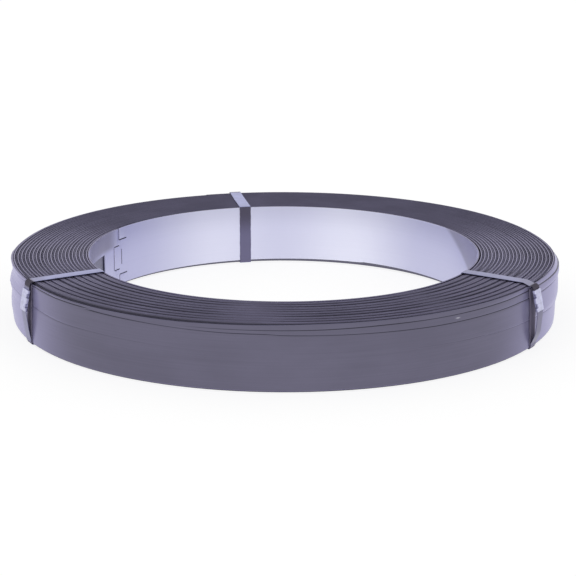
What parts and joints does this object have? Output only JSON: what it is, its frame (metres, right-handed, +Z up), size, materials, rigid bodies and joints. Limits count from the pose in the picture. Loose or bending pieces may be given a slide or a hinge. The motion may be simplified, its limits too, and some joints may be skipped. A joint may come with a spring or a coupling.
{
  "type": "steel strapping coil",
  "caption": "Ribbon-wound coil of wide, heavy steel strapping, lying flat and held by narrow steel ties with crimped seals.",
  "frame": {"origin": "on the coil's axis, at the level of the floor under the ties", "axes": "+Z up along the coil's axis; -Y faces the viewer, with one tie at the back and one at each side towards the front"},
  "size_m": [0.4414, 0.4426, 0.052],
  "materials": {
    "strap_steel": "cold-rolled steel with a thin dark finish, satin",
    "tie_steel": "bright rolled steel, satin",
    "seal_steel": "galvanised steel, satin"
  },
  "bodies": {
    "root": {"strap_coil": "strap_steel", "tie_left": "tie_steel", "tie_right": "tie_steel", "tie_back": "tie_steel", "seal_left": "seal_steel", "seal_right": "seal_steel", "seal_back": "seal_steel"}
  },
  "joints": []
}
